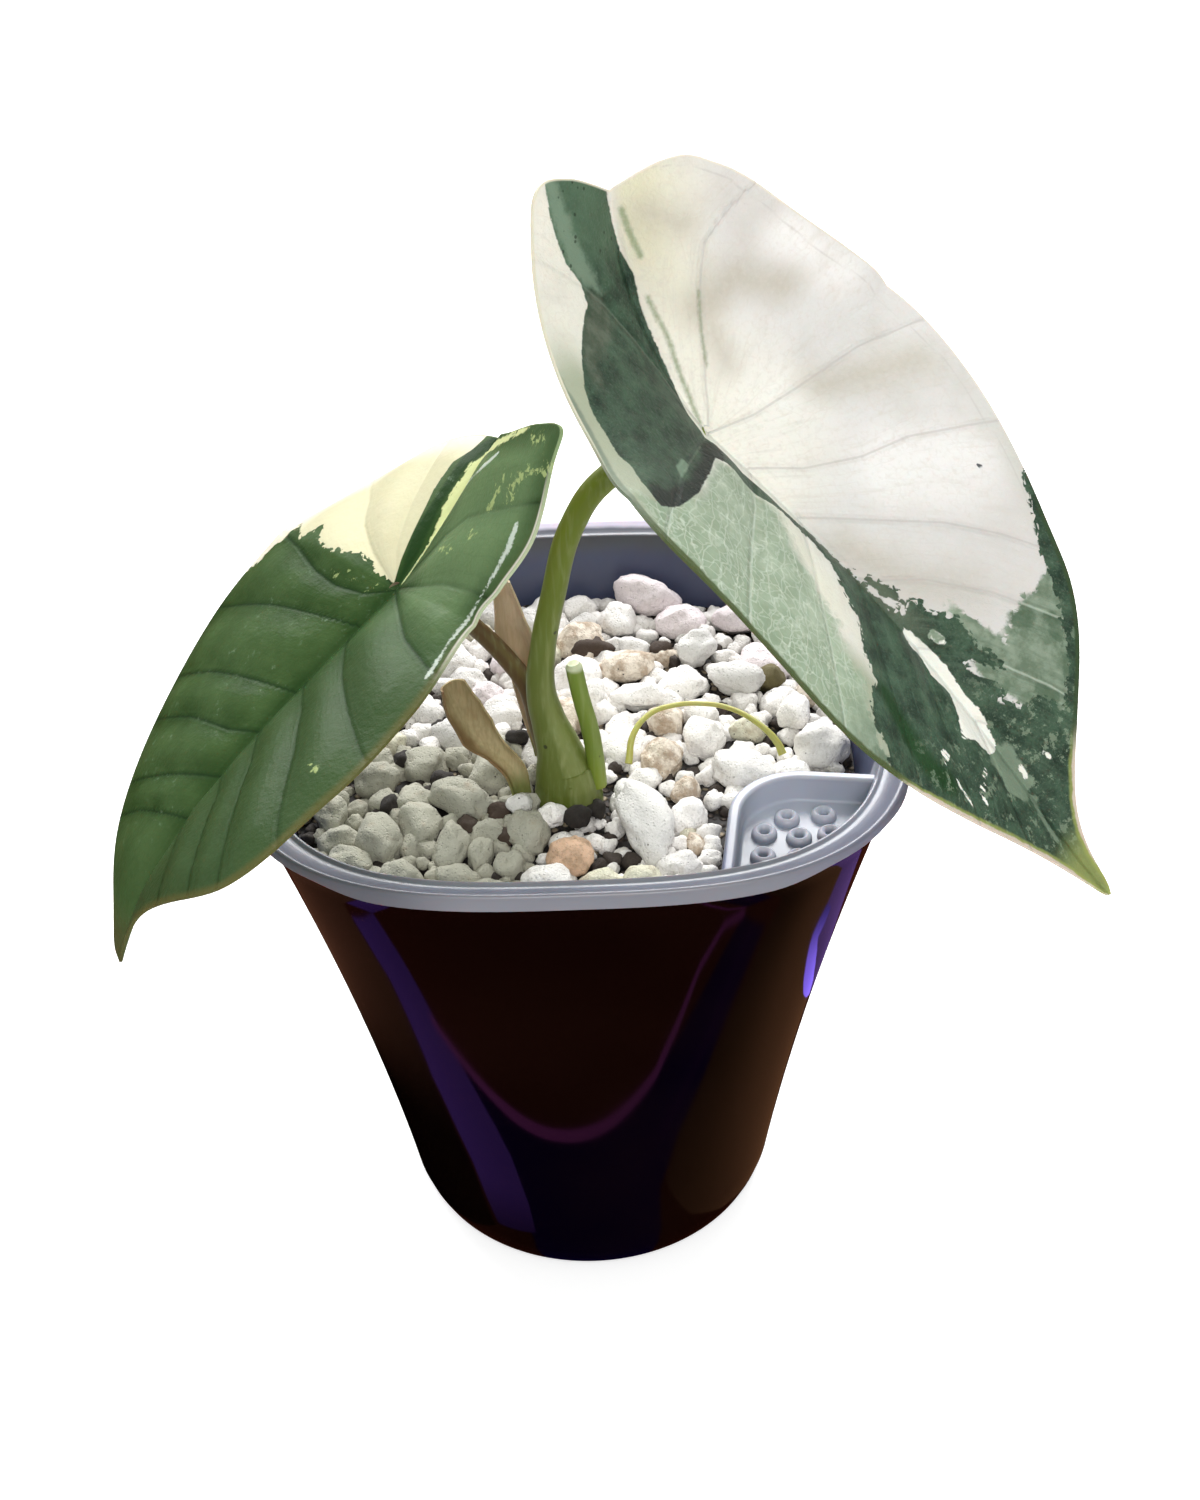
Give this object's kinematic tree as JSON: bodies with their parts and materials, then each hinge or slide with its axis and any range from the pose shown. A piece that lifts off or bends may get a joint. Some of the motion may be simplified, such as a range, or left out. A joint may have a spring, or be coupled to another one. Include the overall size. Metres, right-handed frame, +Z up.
{
  "type": "potted variegated alocasia",
  "caption": "Variegated alocasia with a cream-and-green leaf and a green leaf on petioles, rooted in pumice in a translucent self-watering liner inside a glossy dark pot.",
  "frame": {"origin": "centre of the outer pot's flat foot, on the surface that it stands on", "axes": "+Z up; -Y towards the viewer of the picture, +X to the viewer's right, along the pot's sides"},
  "size_m": [0.1456, 0.1305, 0.1925],
  "materials": {
    "pot_plastic": "high gloss, near black with a violet cast",
    "liner_plastic": "satin, translucent grey",
    "pumice": "matte, chalky",
    "green_stem": "smooth, slightly glossy",
    "brown_stem": "smooth, slightly glossy",
    "cream_leaf": "satin, cream with jade and dark green patches",
    "green_leaf": "glossy, quilted between its veins",
    "dry_sheath": "matte, papery",
    "root_skin": "matte"
  },
  "bodies": {
    "root": {"outer_pot": "pot_plastic", "liner_pot": "liner_plastic", "gravel": "pumice", "stem": "green_stem", "large_petiole": "green_stem", "large_leaf": "cream_leaf", "small_petiole": "brown_stem", "small_leaf": "green_leaf", "cut_stub": "green_stem", "left_sheath": "dry_sheath", "back_sheath": "dry_sheath", "root": "root_skin"}
  },
  "joints": []
}
